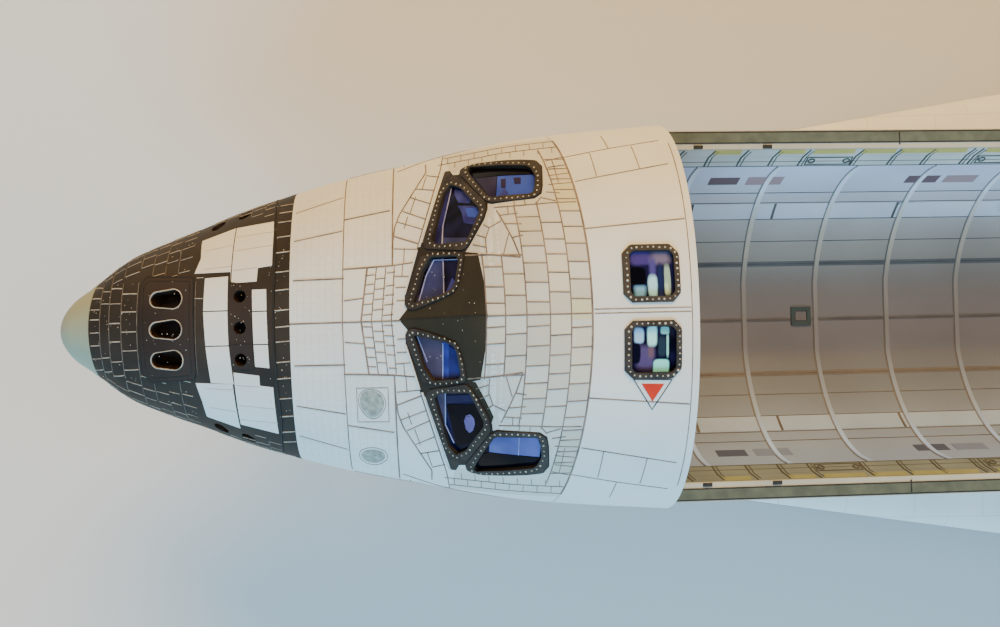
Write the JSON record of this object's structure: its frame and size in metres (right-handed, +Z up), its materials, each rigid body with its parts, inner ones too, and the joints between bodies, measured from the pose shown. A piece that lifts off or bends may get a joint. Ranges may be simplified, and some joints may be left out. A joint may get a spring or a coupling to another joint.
{
  "type": "space shuttle orbiter card model",
  "caption": "Card display model of a winged space shuttle orbiter, payload bay open, parked on its gear, with turning wheels and hinged elevons, rudder and body flap.",
  "frame": {"origin": "on the ground under the middle of the length, in the plane of symmetry", "axes": "+X aft along the fuselage, +Y to starboard, +Z up"},
  "size_m": [0.3724, 0.2378, 0.1727],
  "materials": {
    "white_card": "matt printed card, white with fine grey tile lines",
    "cap_card": "matt printed card, pale grey green",
    "black_tile": "matt printed card, brown black with light tile lines",
    "frame_card": "matt printed card, dark grey with a row of light dots",
    "glass_film": "glossy dark blue film",
    "liner_card": "matt printed card, grey beige with light ribs",
    "sill_card": "matt printed card, grey green",
    "bulkhead_card": "matt printed card, light grey",
    "edge_card": "matt printed card, mid grey",
    "belly_card": "matt printed card, black with fine tile lines",
    "bell_card": "satin printed card, warm grey",
    "leg_card": "satin rolled card, light grey",
    "hub_card": "satin card discs, light grey",
    "tyre_card": "matt card rings, near black"
  },
  "bodies": {
    "orbiter": {"nose_cap": "cap_card", "nose_section": "black_tile", "cockpit_section": "white_card", "cabin_section": "white_card", "windshield_frame_starboard": "frame_card", "windshield_frame_port": "frame_card", "windshield_glass_starboard": "glass_film", "windshield_glass_port": "glass_film", "overhead_frame_starboard": "frame_card", "overhead_frame_port": "frame_card", "overhead_glass_starboard": "glass_film", "overhead_glass_port": "glass_film", "forward_bulkhead": "bulkhead_card", "mid_fuselage": "white_card", "bay_liner": "liner_card", "sill_starboard": "sill_card", "sill_port": "sill_card", "aft_bulkhead": "bulkhead_card", "aft_fuselage": "white_card", "oms_pod_starboard": "white_card", "oms_pod_port": "white_card", "oms_nozzle_starboard": "bell_card", "oms_nozzle_port": "bell_card", "main_engine_top": "bell_card", "main_engine_port": "bell_card", "main_engine_starboard": "bell_card", "fin": "white_card", "wing_starboard": "white_card", "wing_port": "white_card", "wing_leading_edge_starboard": "edge_card", "wing_leading_edge_port": "edge_card", "nose_wheel_well": "bulkhead_card", "main_wheel_well_starboard": "bulkhead_card", "main_wheel_well_port": "bulkhead_card", "nose_gear_door_starboard": "belly_card", "nose_gear_door_port": "belly_card", "main_gear_door_starboard": "belly_card", "main_gear_door_port": "belly_card", "nose_strut": "leg_card", "main_strut_starboard": "leg_card", "main_strut_port": "leg_card"},
    "nose_wheels": {"nose_hubs": "hub_card", "nose_tyre_starboard": "tyre_card", "nose_tyre_port": "tyre_card"},
    "main_wheels_starboard": {"main_hubs_starboard": "hub_card", "main_tyre_outer_starboard": "tyre_card", "main_tyre_inner_starboard": "tyre_card"},
    "main_wheels_port": {"main_hubs_port": "hub_card", "main_tyre_outer_port": "tyre_card", "main_tyre_inner_port": "tyre_card"},
    "elevon_inboard_starboard": {"elevon_inboard_starboard": "white_card"},
    "elevon_inboard_port": {"elevon_inboard_port": "white_card"},
    "elevon_outboard_starboard": {"elevon_outboard_starboard": "white_card"},
    "elevon_outboard_port": {"elevon_outboard_port": "white_card"},
    "rudder": {"rudder": "white_card"},
    "body_flap": {"body_flap": "belly_card"}
  },
  "joints": [
    {"name": "nose_wheels_spin", "type": "hinge", "parent": "orbiter", "child": "nose_wheels", "pos_m": [-0.15367, 0, 0.00406], "axis": [0, 1, 0], "continuous": true},
    {"name": "main_wheels_starboard_spin", "type": "hinge", "parent": "orbiter", "child": "main_wheels_starboard", "pos_m": [0.05258, 0.0348, 0.00565], "axis": [0, 1, 0], "continuous": true},
    {"name": "main_wheels_port_spin", "type": "hinge", "parent": "orbiter", "child": "main_wheels_port", "pos_m": [0.05258, -0.0348, 0.00565], "axis": [0, 1, 0], "continuous": true},
    {"name": "elevon_inboard_starboard_hinge", "type": "hinge", "parent": "orbiter", "child": "elevon_inboard_starboard", "pos_m": [0.10617, 0.02662, 0.04077], "axis": [0, 0.9981, 0.061], "range_deg": [-35, 20]},
    {"name": "elevon_inboard_port_hinge", "type": "hinge", "parent": "orbiter", "child": "elevon_inboard_port", "pos_m": [0.10617, -0.02662, 0.04077], "axis": [0, 0.9981, -0.061], "range_deg": [-35, 20]},
    {"name": "elevon_outboard_starboard_hinge", "type": "hinge", "parent": "orbiter", "child": "elevon_outboard_starboard", "pos_m": [0.10617, 0.02662, 0.04077], "axis": [0, 0.9981, 0.061], "range_deg": [-35, 20]},
    {"name": "elevon_outboard_port_hinge", "type": "hinge", "parent": "orbiter", "child": "elevon_outboard_port", "pos_m": [0.10617, -0.02662, 0.04077], "axis": [0, 0.9981, -0.061], "range_deg": [-35, 20]},
    {"name": "rudder_hinge", "type": "hinge", "parent": "orbiter", "child": "rudder", "pos_m": [0.13503, 0, 0.11633], "axis": [0.5744, 0, 0.8186], "range_deg": [-27, 27]},
    {"name": "body_flap_hinge", "type": "hinge", "parent": "orbiter", "child": "body_flap", "pos_m": [0.14402, 0, 0.03912], "axis": [0, 1, 0], "range_deg": [-11.7, 22.5]}
  ]
}
